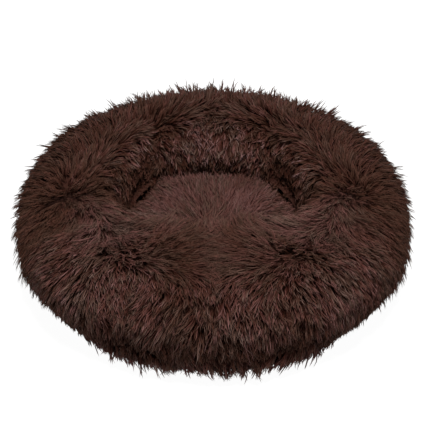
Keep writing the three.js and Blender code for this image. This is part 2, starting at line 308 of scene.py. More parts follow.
# Fills, bands and base
BASE_RADIUS = 0.222
BASE_THICKNESS = 0.0025
BINDING_WIDTH = 0.0047
BINDING_RISE = 0.0008
BINDING_TOP = 0.0062
DIVIDER_THICKNESS = 0.0014
TAPE_THICKNESS = 0.0014
TAPE_WIDTH = 0.012
TAPE_BELOW_SEAM = 0.003
CLOTH_GAP = 0.0003
FILL_GAP = 0.0005
FLOOR_OF_FILL = BASE_THICKNESS + CLOTH_GAP
LUMP_DEPTH = 0.004
LUMP_HEIGHTS = (0.02, 0.05)
BAND_POWER = 2 / 7
PUCKER_COUNT = 72
PUCKER_DEPTH = 0.0005

# Smooth noise: how many waves it sums, the range of their lengths and the height that the sum is divided by
SEED = 11
RIPPLE_WAVES = 7
RIPPLE_LENGTHS = (0.7, 1.5)
RIPPLE_PEAK = 2.6


def mix(start, end, share):
    return start + (end - start) * share


def smooth(low, high, value):
    """0 at low and beyond, 1 at high and beyond, and an S-curve between them."""
    share = np.clip((value - low) / (high - low), 0, 1)
    return share * share * (3 - 2 * share)


def bell(value, width, power=2):
    """1 at 0 and less on both sides of it: e to the minus of value over width, raised to a power."""
    return np.exp(-(np.abs(value / width) ** power))


def unit(vectors):
    return vectors / np.maximum(np.linalg.norm(vectors, axis=-1, keepdims=True), 1e-12)


def dot(first, second):
    return (first * second).sum(-1, keepdims=True)


def angle_between(azimuth, other):
    return np.abs(np.arctan2(np.sin(azimuth - other), np.cos(azimuth - other)))


def fullness(azimuth):
    """0 in a pleat and 1 on the middle of a puff: the sine of the way across it, to a power."""
    turned = np.mod(azimuth, TAU)
    index = np.searchsorted(PLEATS, turned, side="right") - 1
    ends = np.append(PLEATS[1:], TAU)
    across = (turned - PLEATS[index]) / (ends[index] - PLEATS[index])
    return np.sin(math.pi * across) ** PLEAT_SHARPNESS


def ridge(azimuth):
    """1 along the front ridge, fading to 0 past its ends."""
    return 1 - smooth(RIDGE_HALF_SPAN, RIDGE_HALF_SPAN + RIDGE_FADE, angle_between(azimuth, FRONT))


def plan_share(azimuth):
    """How far out a slightly squared circle lies, as a share of its radius."""
    across = np.abs(np.cos(azimuth)) ** PLAN_SQUARENESS + np.abs(np.sin(azimuth)) ** PLAN_SQUARENESS
    return across ** (-1 / PLAN_SQUARENESS)


def quarter(side, level, share, squareness):
    """A quarter of a rounded square: cosine and sine of the turn, each to the power 2 / squareness."""
    turn = share * math.pi / 2
    across = np.clip(np.cos(turn), 0, 1) ** (2 / squareness)
    up = np.clip(np.sin(turn), 0, 1) ** (2 / squareness)
    return mix(level[0], side[0], across), mix(side[1], level[1], up)


def seat_height(radius):
    """Height at which the bolster rests on the cushion, at a radius from the middle."""
    across = np.minimum(1, radius / SEAM_RADIUS) ** CUSHION_SQUARENESS
    return mix(SEAM_HEIGHT, CUSHION_HEIGHT + SEAT_GAP, (1 - across) ** (1 / CUSHION_SQUARENESS))


def seat_point(landing, share):
    """Where a puff rests on the cushion, from its landing out to the seam."""
    start = np.arccos(np.minimum(1, (landing / SEAM_RADIUS) ** (CUSHION_SQUARENESS / 2)))
    turn = mix(start, 0, share)
    radius = SEAM_RADIUS * np.cos(turn) ** (2 / CUSHION_SQUARENESS)
    rise = np.sin(turn) ** (2 / CUSHION_SQUARENESS)
    return radius, mix(SEAM_HEIGHT, CUSHION_HEIGHT + SEAT_GAP, rise)


def dimple_radius(pleat):
    at_side = abs(math.sin(pleat)) < math.sin(SIDE_PUFF_SPAN / 2)
    return SIDE_DIMPLE_RADIUS if at_side else END_DIMPLE_RADIUS


def dimpled_share(azimuth, radius):
    """1 in the middle of a dimple, falling as a bell curve across its azimuth and along its radius."""
    total = 0
    for pleat in PLEATS:
        across = bell(angle_between(azimuth, pleat), DIMPLE_SPAN)
        total = total + across * bell(radius - dimple_radius(pleat), DIMPLE_LENGTH)
    return total


def outer_face(azimuth, steps):
    """Radius, height and place of the bolster's outer face, azimuths down and its profile across.

    The place counts quarters: 0 to 1 from foot to girth, to 2 at the crest, to 3 at the bulge over
    the cushion, to 4 where it lands on the cushion and to 5 at the inner seam.
    """
    azimuth = azimuth[:, None]
    share = np.linspace(0, 1, steps + 1)[None, :]
    full, front = fullness(azimuth), ridge(azimuth)
    ridge_distance = SEAM_RADIUS - RIDGE_OVERHANG
    towards_front = np.maximum(np.cos(angle_between(azimuth, FRONT)), ridge_distance / SEAM_RADIUS)
    at_back = np.sin(azimuth) > math.sin(SIDE_PUFF_SPAN)
    overhang = mix(PLEAT_OVERHANG, np.where(at_back, BACK_OVERHANG, SIDE_OVERHANG), full)
    rise = mix(mix(PLEAT_BULGE_RISE, BULGE_RISE, full), RIDGE_BULGE_RISE, front)
    bulge = (
        mix(SEAM_RADIUS - overhang, ridge_distance / towards_front, front),
        CUSHION_HEIGHT + rise,
    )
    crest_drop = mix(PLEAT_CREST_DROP, RIDGE_PLEAT_DROP, front) * (1 - full)
    crest = (
        mix(CREST_RADIUS, RIDGE_CREST_RADIUS, front),
        mix(CREST_HEIGHT, RIDGE_CREST_HEIGHT, front) - crest_drop,
    )
    girth = (OUTER_RADIUS * plan_share(azimuth) - PLEAT_GIRTH_DROP * (1 - full), GIRTH_HEIGHT)
    squareness = mix(PLEAT_SQUARENESS, INNER_SQUARENESS, np.maximum(full, front))
    landing = mix(bulge[0], SEAM_RADIUS, LANDING_SHARE)

    lower = quarter(girth, (FOOT_RADIUS, FOOT_HEIGHT), 1 - share, LOWER_SQUARENESS)
    upper = quarter(girth, crest, share, UPPER_SQUARENESS)
    slope = quarter(bulge, crest, 1 - share, squareness)
    under = quarter(bulge, seat_point(landing, 0), share, INNER_SQUARENESS)
    upper = (upper[0], upper[1] - DIMPLE_DEPTH * dimpled_share(azimuth, upper[0]))
    slope = (slope[0], slope[1] - DIMPLE_DEPTH * dimpled_share(azimuth, slope[0]))
    under = (under[0], np.maximum(under[1], seat_height(under[0])))
    stretches = [lower, upper, slope, under]
    radius = np.hstack([stretch[0][:, :-1] for stretch in stretches] + [seat_point(landing, share)[0]])
    heights = [(stretch[1] + 0 * azimuth)[:, :-1] for stretch in stretches]
    height = np.hstack([*heights, seat_point(landing, share)[1]])
    place = np.linspace(0, 5, 5 * steps + 1)[None, :] + 0 * azimuth
    return radius, height, place


def drawn_to_core(radius, height, depth):
    """The section drawn in towards the core of the ring by a depth."""
    across, up = CORE_RADIUS - radius, CORE_HEIGHT - height
    draw = depth / np.hypot(across, up)
    return radius + across * draw, height + up * draw


def fold_share(azimuth, place):
    """The fold that runs low round the front puffs: 1 on it and 0 away from it, and how many of its
    widths a point lies above it. Both fade out as a bell curve of the angle from the front."""
    line = FOLD_PLACE + FOLD_WAVE * np.cos(FOLD_SCALLOPS * (azimuth - FRONT))
    beside = bell(angle_between(azimuth, FRONT), FOLD_HALF_SPAN, 4)
    above = (place - line) / FOLD_WIDTH
    return beside * bell(above, 1), beside * np.clip(above, *FOLD_REACH)


def nearest(lines, azimuth):
    """Angle from each azimuth to the nearest of some lines, positive anticlockwise."""
    angles = np.mod(lines - azimuth[..., None] + math.pi, TAU) - math.pi
    return np.take_along_axis(angles, np.abs(angles).argmin(-1)[..., None], -1)[..., 0]


def crease_share(azimuth, place):
    """How near a point on the nest's wall lies to a crease, 1 on it and 0 away from it, and the angle to it.

    The two creases at the back run askew: from the skew outwards at the crest to as much inwards at the
    landing on the cushion.
    """
    at_back = smooth(*CREASE_BACK_SINES, np.sin(azimuth))
    skew = CREASE_SKEW * (1 - 2 * np.clip((place - 2) / CREASE_SKEW_PLACES, 0, 1))
    to_crease = nearest(CREASES, azimuth - skew * at_back * np.sign(np.cos(azimuth)))
    strength = mix(CREASE_AT_SIDE, 1, at_back) * (1 - CREASE_RIDGE_LOSS * ridge(azimuth))
    on_wall = smooth(*CREASE_TOP_PLACES, place) * smooth(*CREASE_FOOT_PLACES, place)
    return strength * on_wall * bell(to_crease, CREASE_HALF_SPAN), to_crease


def skin_section(azimuth, steps):
    """The backing cloth's section under the pile.

    The pile is shallower at the foot, where it is tucked in and in the dimples, and deeper in the
    fold round the front and in the creases of the nest's wall.
    """
    radius, height, place = outer_face(azimuth, steps)
    depth = EDGE_DEPTH
    for start, end, next_depth in DEPTHS_BY_PLACE:
        depth = mix(depth, next_depth, smooth(start, end, place))
    depth = depth * (1 - DIMPLE_DEPTH_LOSS * bell(place - 2, 1, 4) * dimpled_share(azimuth[:, None], radius))
    depth = depth + FOLD_DEPTH * fold_share(azimuth[:, None], place)[0]
    depth = depth + CREASE_DEPTH * crease_share(azimuth[:, None] + 0 * place, place)[0]
    return (*drawn_to_core(radius, height, depth), place)


def turned(radius, height, azimuth):
    """Points of a section carried round the axis: radius times cosine and sine, and height."""
    azimuth = azimuth[:, None]
    return np.stack([radius * np.cos(azimuth), radius * np.sin(azimuth), height + 0 * azimuth], -1)


def new_object(name, points, faces, material):
    mesh = bpy.data.meshes.new(name)
    mesh.vertices.add(len(points))
    mesh.vertices.foreach_set("co", np.ascontiguousarray(points, np.float32).ravel())
    mesh.loops.add(faces.size)
    mesh.loops.foreach_set("vertex_index", np.ascontiguousarray(faces, np.int32).ravel())
    mesh.polygons.add(len(faces))
    mesh.polygons.foreach_set("loop_start", np.arange(0, faces.size, faces.shape[1], dtype=np.int32))
    mesh.update(calc_edges=True)
    mesh.validate()
    mesh.shade_smooth()
    mesh.materials.append(material)
    piece = bpy.data.objects.new(name, mesh)
    bpy.context.scene.collection.objects.link(piece)
    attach(piece, "root")
    return piece


def ring_faces(rows, columns):
    """Quads between the rows and columns of a grid that closes on itself both ways."""
    row, column = np.meshgrid(np.arange(rows), np.arange(columns), indexing="ij")
    here, below = row * columns, (row + 1) % rows * columns
    beyond = (column + 1) % columns
    return np.stack([here + column, below + column, below + beyond, here + beyond], -1).reshape(-1, 4)


def ring_body(name, points, material):
    return new_object(name, points.reshape(-1, 3), ring_faces(*points.shape[:2]), material)


def azimuths(count):
    return np.linspace(0, TAU, count, endpoint=False)


def surface_frame(points):
    """Unit tangents along both directions of a grid that closes round its first one, and its normal."""
    around = unit(np.roll(points, -1, 0) - np.roll(points, 1, 0))
    along = unit(np.gradient(points, axis=1))
    return around, along, unit(np.cross(around, along))


def spread_over(points, place, low, high, count, rng):
    """Fractional rows and columns of points spread evenly over the area of part of a grid.

    A pair of additive sequences, one for each direction, gives an even but irregular spread, and
    the running sums of the area turn it into rows and columns.
    """
    across = np.linalg.norm(np.roll(points, -1, 0) - points, axis=-1)
    down = np.linalg.norm(np.diff(points, axis=1, append=points[:, -1:]), axis=-1)
    area = across * down * ((place >= low) & (place <= high))
    first, second = (
        np.mod(0.5 + np.arange(count) * step + rng.normal(0, SPREAD_JITTER, count) / math.sqrt(count), 1)
        for step in EVEN_STEPS
    )
    rows = np.cumsum(area.sum(1))
    row = np.interp(first * rows[-1], rows, np.arange(1, len(rows) + 1))
    whole = np.minimum(row.astype(int), len(area) - 1)
    columns = np.cumsum(area, axis=1)
    columns /= columns[:, -1:]
    column = (columns[whole] < second[:, None]).sum(1) + rng.random(count)
    return row, np.minimum(column, area.shape[1] - 1.001)


def at(grid, row, column):
    """Values of a grid at fractional rows, which close round, and columns."""
    below, left = np.floor(row).astype(int), np.floor(column).astype(int)
    down, over = (row - below)[:, None], (column - left)[:, None]
    rows, last = grid.shape[0], grid.shape[1] - 1
    flat = grid.reshape(rows, last + 1, -1)
    top = mix(flat[below % rows, left], flat[below % rows, np.minimum(left + 1, last)], over)
    foot = mix(flat[(below + 1) % rows, left], flat[(below + 1) % rows, np.minimum(left + 1, last)], over)
    return mix(top, foot, down)


def ripple(points, wavelength, rng):
    """Smooth noise between about -1 and 1: a sum of sine waves in random directions."""
    total = 0
    for _ in range(RIPPLE_WAVES):
        wave = unit(rng.normal(size=3)) * TAU / (wavelength * rng.uniform(*RIPPLE_LENGTHS))
        total = total + np.sin(points @ wave + rng.uniform(0, TAU))
    return total / RIPPLE_PEAK


def turn_about(vectors, axes, angle):
    """Vectors turned about axes square to them."""
    angle = angle[:, None]
    return vectors * np.cos(angle) + np.cross(axes, vectors) * np.sin(angle)


def strands(name, tufts, rng):
    """One panel of pile: for each tuft, strands as closed three-sided tubes that taper to both ends.

    A tuft's line leaves its root along one direction and ends along another, with the speed blended
    evenly between them. Its strands start round the root and draw together towards the tip, and a
    sine wave sways each one sideways. A strand that would stand out too far is shortened. Its rings lie
    at shares of the way to its tip, as thick as shares of its width.
    """
    count = STRANDS_IN_TUFT
    number = len(tufts["root"]) * count

    def each(values):
        return np.repeat(values, count, axis=0)

    normal, leave, arrive = each(tufts["normal"]), each(tufts["leave"]), each(tufts["arrive"])
    sideways = unit(np.cross(normal, leave))
    forwards = np.cross(sideways, normal)
    offset = rng.normal(size=(number, 2)) * each(tufts["spread"])[:, None]
    offset = sideways * offset[:, :1] + forwards * offset[:, 1:]
    stray = unit(leave + ROOT_STRAY * rng.normal(size=(number, 3)))
    end = unit(arrive + TIP_STRAY * rng.normal(size=(number, 3)))
    length = (each(tufts["length"]) * rng.uniform(*STRAND_LENGTHS, number))[:, None]
    draw = np.clip(rng.normal(0, DRAW_NOISE, (number, 1)) + each(tufts["draw"])[:, None], 0, 1.1)
    sway = each(tufts["sway"])[:, None] + rng.normal(0, SWAY_NOISE, (number, 1))
    phase = each(tufts["phase"])[:, None] + rng.normal(0, PHASE_NOISE, (number, 1))
    pace = rng.uniform(*STRAND_PACES, (number, 1))
    root = each(tufts["root"])
    length = length * within_reach(root, root + length * (stray + end) / 2)

    def on_line(share):
        travel = length * ((share - share**2 / 2) * stray + share**2 / 2 * end)
        wave = sway * (np.sin(phase + TAU * pace * share) - np.sin(phase)) * share
        return root + offset * (1 - draw * share) + travel + sideways * wave

    shares = [0, *(share for share, _ in STRAND_RINGS), 1]
    rings = len(STRAND_RINGS)
    last = 3 * rings + 1
    line = [on_line(share) for share in shares]
    width = (each(tufts["width"]) * rng.uniform(*STRAND_WIDTHS, number))[:, None]
    roll = rng.uniform(0, TAU, (number, 1))
    points = np.empty((number, last + 1, 3))
    points[:, 0], points[:, last] = line[0], line[-1]
    for ring, (_, thickness) in enumerate(STRAND_RINGS, 1):
        along = unit(line[ring + 1] - line[ring - 1])
        first = unit(sideways - dot(sideways, along) * along)
        second = np.cross(along, first)
        for corner in range(3):
            angle = roll + TAU * corner / 3
            reach = width * thickness * (np.cos(angle) * first + np.sin(angle) * second)
            points[:, 3 * ring - 2 + corner] = line[ring] + reach
    points[..., 2] = np.maximum(points[..., 2], FLOOR_CLEARANCE)

    pattern = []
    for corner in range(3):
        here, there = 1 + corner, 1 + (corner + 1) % 3
        pattern += [(here, 0, there), (here + last - 4, there + last - 4, last)]
        for up in range(0, 3 * rings - 3, 3):
            pattern += [(here + up, there + up, there + up + 3), (here + up, there + up + 3, here + up + 3)]
    pattern = np.array(pattern)
    faces = (np.arange(number)[:, None, None] * (last + 1) + pattern[None]).reshape(-1, 3)
    piece = new_object(name, points.reshape(-1, 3), faces, PILE)

    tone = np.clip(each(tufts["tone"]) + rng.normal(0, 1, number) * each(tufts["mottle"]), 0.02, 0.98)
    tone = np.where(each(tufts["red"]), 0.5 + tone / 2, tone / 2)
    across = np.array([0] + [-TONE_STEP, 0, TONE_STEP] * rings + [0])
    # Painted shade along each strand: dark at its root, where the pile shades itself, up to the painted
    # sheen at its tip; a tuft with a lighter start has less root shade
    shade = np.concatenate([shares[:1], np.repeat(shares[1:-1], 3), shares[-1:]])
    shade = mix(each(tufts["root_shade_start"])[:, None], 1, shade)
    tints = np.stack([tone[:, None] + across, shade], -1).reshape(-1, 2)
    layer = piece.data.uv_layers.new(name="OFBake")
    layer.data.foreach_set("uv", tints[faces.ravel()].astype(np.float32).ravel())


def within_reach(root, tip):
    """Share of the way from root to tip at which a strand still stays close to the bed's form."""
    azimuth = np.arctan2(tip[:, 1], tip[:, 0])
    outline = OUTER_RADIUS * plan_share(azimuth) + TIP_REACH
    root_radius, tip_radius = np.hypot(root[:, 0], root[:, 1]), np.hypot(tip[:, 0], tip[:, 1])
    outwards = (outline - root_radius) / np.maximum(tip_radius - root_radius, 1e-6)
    upwards = (TIP_HEIGHT - root[:, 2]) / np.maximum(tip[:, 2] - root[:, 2], 1e-6)
    outwards = np.where(tip_radius > outline, outwards, 1)
    upwards = np.where(tip[:, 2] > TIP_HEIGHT, upwards, 1)
    return np.clip(np.minimum(outwards, upwards), 0.2, 1)[:, None]


def put(socket, value, links):
    """Links a socket's value in, or sets it."""
    if isinstance(value, bpy.types.NodeSocket):
        links.new(value, socket)
    else:
        socket.default_value = value


def add_node(tree, kind, sockets, **settings):
    """A new node with its settings, and then its input sockets, put by name."""
    node = tree.nodes.new("ShaderNode" + kind)
    for name, value in settings.items():
        setattr(node, name, value)
    for name, value in sockets.items():
        put(node.inputs[name], value, tree.links)
    return node


def maths(tree, operation, *values):
    node = add_node(tree, "Math", {}, operation=operation)
    for socket, value in zip(node.inputs, values):
        put(socket, value, tree.links)
    return node.outputs[0]


def blend(tree, share, first, second, way="MIX"):
    sockets = {"Factor": share, "A": first, "B": second}
    return add_node(tree, "Mix", sockets, data_type="RGBA", blend_type=way).outputs["Result"]


def ramp(tree, share, stops):
    """The colour that a ramp gives a share. Each of its stops is a place and a colour."""
    node = add_node(tree, "ValToRGB", {"Fac": share})
    elements = node.color_ramp.elements
    while len(elements) < len(stops):
        elements.new(1)
    for element, (position, colour) in zip(elements, stops):
        element.position = position
        element.color = (*colour, 1)
    return node.outputs["Color"]


def new_material(name, roughness, specular):
    """A material with its node tree and the inputs of its shader."""
    material = bpy.data.materials.new(name)
    material.use_nodes = True
    given = material.node_tree.nodes["Principled BSDF"].inputs
    given["Roughness"].default_value = roughness
    given["Specular IOR Level"].default_value = specular
    return material, material.node_tree, given


def own_map(tree):
    return add_node(tree, "UVMap", {}, uv_map="OFBake").outputs["UV"]


def add_bump(tree, given, height, strength, distance):
    bump = add_node(tree, "Bump", {"Strength": strength, "Distance": distance, "Height": height})
    put(given["Normal"], bump.outputs["Normal"], tree.links)


# Tones of the pile, first of the olive strands and then of the red ones, and its painted shade and sheen
# from root to tip: dark at the root, where the pile shades itself, and at the tip lighter and whiter than
# its tone, a painted sheen
PILE_TONES = [
    (0.0, (0.045, 0.0172, 0.0098)),
    (0.25, (0.094, 0.0455, 0.0322)),
    (0.49, (0.148, 0.083, 0.064)),
    (0.51, (0.053, 0.0172, 0.0098)),
    (0.75, (0.117, 0.044, 0.035)),
    (1.0, (0.190, 0.094, 0.082)),
]
PILE_SHADE_AND_SHEEN = [(0.2, (0.17, 0.060, 0.020)), (0.56, (0.54, 0.50, 0.50)), (1.0, (1.26, 1.49, 1.62))]
# Fibre colour: painted shade, a grey cream, in the hollows of its bump, up to white on its tops
FIBRE_TONES_AND_SHADE = [(0.3, (0.55, 0.53, 0.49)), (0.5, (0.74, 0.72, 0.68)), (0.72, (0.86, 0.85, 0.82))]
STITCH_HALF_WIDTH = 0.0006
STITCH_SHARE = 0.66
STITCHES_ROUND_RING = 360


def pile_material():
    """Strand colour by the strand's own map: its tone across, times its painted shade and sheen from root to
    tip upwards.
    """
    material, tree, given = new_material("plush_pile", 0.55, 0.05)
    tone, shade, _ = add_node(tree, "SeparateXYZ", {"Vector": own_map(tree)}).outputs
    # Painted shade at the roots and painted sheen at the tips, multiplied into the tone
    colour = blend(tree, 1, ramp(tree, tone, PILE_TONES), ramp(tree, shade, PILE_SHADE_AND_SHEEN), "MULTIPLY")
    put(given["Base Color"], colour, tree.links)
    return material


def new_group(name, inputs, outputs):
    """A shader node group with named sockets, its inputs' node outputs and its output node."""
    tree = bpy.data.node_groups.new(name, "ShaderNodeTree")
    for way, sockets in (("INPUT", inputs), ("OUTPUT", outputs)):
        for label, kind in sockets.items():
            tree.interface.new_socket(label, in_out=way, socket_type="NodeSocket" + kind)
    return tree, tree.nodes.new("NodeGroupInput").outputs, tree.nodes.new("NodeGroupOutput")


def half_sine(tree, turns):
    """Half a sine wave of a number of turns, raised to run from 0 to 1."""
    return maths(tree, "MULTIPLY_ADD", maths(tree, "SINE", maths(tree, "MULTIPLY", turns, TAU)), 0.5, 0.5)


def weave_group():
    """Woven cloth. Ribs are half a sine wave across the cloth, slanted by the threads along it; threads are
    half a sine wave along it. Height = 0.6 ribs + 0.4 threads, and the colour goes from dark to light with
    three parts of height, painted shade in the grooves and painted light on the ribs, and two of a noise of
    the place."""
    numbers = {"Across": "Float", "Along": "Float", "Slant": "Float"}
    inputs = {"Place": "Vector", **numbers, "Dark": "Color", "Light": "Color"}
    tree, given, out = new_group("woven_cloth", inputs, {"Colour": "Color", "Height": "Float"})
    ribs = half_sine(tree, maths(tree, "MULTIPLY_ADD", given["Along"], given["Slant"], given["Across"]))
    threads = half_sine(tree, given["Along"])
    height = maths(tree, "MULTIPLY_ADD", ribs, 0.6, maths(tree, "MULTIPLY", threads, 0.4))
    noise = add_node(tree, "TexNoise", {"Vector": given["Place"], "Scale": 60, "Detail": 4}).outputs["Fac"]
    # Painted shade in the weave's grooves and painted light on its ribs, mixed with the noise
    share = maths(tree, "MULTIPLY_ADD", height, 0.6, maths(tree, "MULTIPLY", noise, 0.4))
    tree.links.new(blend(tree, share, given["Dark"], given["Light"]), out.inputs["Colour"])
    tree.links.new(height, out.inputs["Height"])
    return tree


def stitch_group():
    """A row of stitches: 1 nearer to the line than half a thread and in the first two thirds of each one."""
    inputs = {"Off Line": "Float", "Stitches": "Float"}
    tree, given, out = new_group("stitches", inputs, {"Mask": "Float"})
    near = maths(tree, "LESS_THAN", maths(tree, "ABSOLUTE", given["Off Line"]), STITCH_HALF_WIDTH)
    dash = maths(tree, "LESS_THAN", maths(tree, "FRACT", given["Stitches"]), STITCH_SHARE)
    tree.links.new(maths(tree, "MULTIPLY", near, dash), out.inputs["Mask"])
    return tree


WEAVE, STITCHES = weave_group(), stitch_group()


def cloth_material(
    name, dark, light, threads, slant=0, around=True, mapped=False, stitched=(), roughness=0.9
):
    """Woven cloth of a number of threads each way: threads round the ring and per metre of radius and
    height, or threads per metre of X and Y, or threads over the piece's own map. Rows of stitches lie where
    radius and height have a given sum."""
    material, tree, given = new_material(name, roughness, 0.2)
    place = add_node(tree, "TexCoord", {}).outputs["Object"]
    x, y, z = add_node(tree, "SeparateXYZ", {"Vector": own_map(tree) if mapped else place}).outputs
    turn = maths(tree, "DIVIDE", maths(tree, "ARCTAN2", y, x), TAU)
    radius = maths(tree, "SQRT", maths(tree, "MULTIPLY_ADD", x, x, maths(tree, "MULTIPLY", y, y)))
    level = maths(tree, "ADD", radius, z)
    woven = add_node(tree, "Group", {}, node_tree=WEAVE)
    across = maths(tree, "MULTIPLY", turn if around else x, threads[0])
    along = maths(tree, "MULTIPLY", level if around else y, threads[1])
    values = {"Place": place, "Across": across, "Along": along, "Slant": slant}
    for label, value in {**values, "Dark": (*dark, 1), "Light": (*light, 1)}.items():
        put(woven.inputs[label], value, tree.links)
    colour, height = woven.outputs["Colour"], woven.outputs["Height"]
    for line in stitched:
        row = add_node(tree, "Group", {}, node_tree=STITCHES)
        put(row.inputs["Off Line"], maths(tree, "SUBTRACT", level, line), tree.links)
        put(row.inputs["Stitches"], maths(tree, "MULTIPLY", turn, STITCHES_ROUND_RING), tree.links)
        colour = blend(tree, row.outputs["Mask"], colour, (*(1.6 * value for value in light), 1))
        height = maths(tree, "ADD", height, maths(tree, "MULTIPLY", row.outputs["Mask"], 1.5))
    put(given["Base Color"], colour, tree.links)
    add_bump(tree, given, height, 0.5, 0.0003)
    return material


def fibre_material():
    """Loose white fibre: a noise of the place bent by its distortion, from a grey cream in the hollows of
    its bump, painted shade, to white.
    """
    material, tree, given = new_material("fill_fibre", 1, 0.1)
    place = add_node(tree, "TexCoord", {}).outputs["Object"]
    sockets = {"Vector": place, "Scale": 90, "Detail": 6, "Distortion": 2.5}
    noise = add_node(tree, "TexNoise", sockets).outputs["Fac"]
    put(given["Base Color"], ramp(tree, noise, FIBRE_TONES_AND_SHADE), tree.links)
    add_bump(tree, given, noise, 0.6, 0.002)
    given["Sheen Weight"].default_value = 0.3
    return material


PILE = pile_material()
BACKING_COLOURS = ((0.014, 0.003, 0.001), (0.03, 0.008, 0.004))
BACKING = cloth_material(
    "plush_backing", *BACKING_COLOURS, (1400, 420), around=False, mapped=True, roughness=1
)
CUSHION_BACKING = cloth_material(
    "cushion_backing", *BACKING_COLOURS, (1500, 1500), around=False, roughness=1
)
FIBRE = fibre_material()
DIVIDER_CLOTH = cloth_material(
    "divider_cloth", (0.05, 0.032, 0.026), (0.1, 0.07, 0.056), (900, 1400), stitched=(SEAM_RADIUS + 0.030,)
)
TAPE = cloth_material(
    "twill_tape", (0.009, 0.005, 0.004), (0.03, 0.017, 0.014), (1100, 900), slant=1,
    stitched=(0.1630, 0.1695, 0.2305), roughness=0.85,
)
BASE_CLOTH = cloth_material(
    "base_cloth", (0.01, 0.006, 0.005), (0.034, 0.02, 0.016), (1500, 1500), around=False,
    stitched=(0.216,), roughness=0.85,
)


def grow(name, base, places, count, comb, split, rng):
    """Spreads tufts over the places of a ground, combs them and makes their strands, by panel."""
    row, column = spread_over(base["points"], base["place"], *places, int(count), rng)
    tufts = {"root": at(base["points"], row, column), "place": at(base["place"], row, column)[:, 0]}
    for key in ("around", "along", "normal"):
        tufts[key] = unit(at(base[key], row, column))
    tufts["azimuth"] = np.arctan2(tufts["root"][:, 1], tufts["root"][:, 0])
    comb(tufts, rng)
    for label, chosen in split(tufts):
        strands(f"{name}_{label}", {key: values[chosen] for key, values in tufts.items()}, rng)


def zones_of(tufts):
    """How far each tuft lies in each zone, from 0 to 1, and its angle to the nearest crease.

    Bell curves of angle and place give the calm top of the front ridge, the two corners of the nest and
    the hollow and its pocket at the fold. The table gives the rest: the product of a zone's parts, with
    sine and cosine those of the azimuth.
    """
    root, place, azimuth = tufts["root"], tufts["place"], tufts["azimuth"]
    above_fold = fold_share(azimuth, place)[1]
    over = {"sine": np.sin(azimuth), "cosine": np.abs(np.cos(azimuth))}
    over.update(place=place, above_fold=above_fold)
    from_front = angle_between(azimuth, FRONT)
    off_corner = angle_between(np.abs(np.arctan2(root[:, 1], np.abs(root[:, 0]))), CORNER)
    zone = {"everywhere": np.ones(len(root)), "front": ridge(azimuth)}
    zone["crease"], to_crease = crease_share(azimuth, place)
    zone["calm"] = bell(from_front, RIDGE_HALF_SPAN, 4) * bell(place - CALM_PLACE, CALM_WIDTH, 4)
    zone["not_calm"] = 1 - zone["calm"]
    zone["towards_corner"] = bell(off_corner, CORNER_WIDTH)
    zone["towards_hollow"] = bell(from_front - HOLLOW_AZIMUTH, HOLLOW_WIDTH)
    zone["pocket"] = zone["towards_hollow"] * bell(above_fold, POCKET_WIDTH)
    for name, parts in ZONES.items():
        zone[name] = math.prod(
            zone[part] if isinstance(part, str) else smooth(*part[1:], over[part[0]]) for part in parts
        )
    return zone, to_crease


def summed(table, zone):
    """The sum of a table's amounts, each times its zone."""
    return sum(amount * zone[name] for name, amount in table.items())


def swing_over_crest(tufts, rear):
    """Turn of the pile over the crest, a quarter each way: outwards, sideways on the parting, inwards.

    The parting shifts beside the side and front pleats, as a bell curve of the distance to the pleat.
    """
    to_pleat, root = nearest(PLEATS, tufts["azimuth"]), tufts["root"]
    pleat = to_pleat + tufts["azimuth"]
    in_front = np.where(np.sin(pleat) < -0.5, PARTING_SHIFT_IN_FRONT, 0)
    shift = np.where(np.abs(np.cos(pleat)) > 0.9, PARTING_SHIFT_AT_SIDE, in_front)
    shift = shift * bell(to_pleat * np.hypot(root[:, 0], root[:, 1]), PARTING_SHIFT_LENGTH)
    beyond = tufts["place"] - mix(*PARTING_PLACES, rear) + shift
    return np.clip(beyond / mix(*PARTING_WIDTHS, rear), -1, 1) * math.pi / 2


def whorls(root, normal, nest):
    """The fans of pile round the dimples, pointing away from each, and how tufty the pile is in them.

    Both fall off as bell curves of the distance. A front dimple's fan opens forwards only.
    """
    fan, tufty = np.zeros((len(root), 3)), np.zeros(len(root))
    for pleat in PLEATS:
        out, in_front, at_rear = dimple_radius(pleat), math.sin(pleat) < -0.5, math.sin(pleat) > 0.5
        height = CREST_HEIGHT - DIMPLE_DEPTH - PILE_DEPTH / 2
        centre = np.array([out * math.cos(pleat), out * math.sin(pleat), height])
        centre[0] += math.copysign(WHORL_SHIFT, centre[0]) * in_front
        away = root - centre
        away = away - dot(away, normal) * normal
        distance = np.linalg.norm(away, axis=1)
        strength = (WHORL_AT_REAR if at_rear else 1) * (1 - 0.7 * nest) * bell(distance, WHORL_LENGTH)
        if in_front:
            strength = strength * smooth(*WHORL_SINES, away[:, 1] / np.maximum(distance, 1e-6))
        fan += unit(away) * strength[:, None]
        off_middle = np.linalg.norm((away - TUFTY_OFFSET) / TUFTY_REACH, axis=1)
        tufty = np.maximum(tufty, (TUFTY_AT_REAR if at_rear else 1) * bell(off_middle, 1))
    return fan, tufty


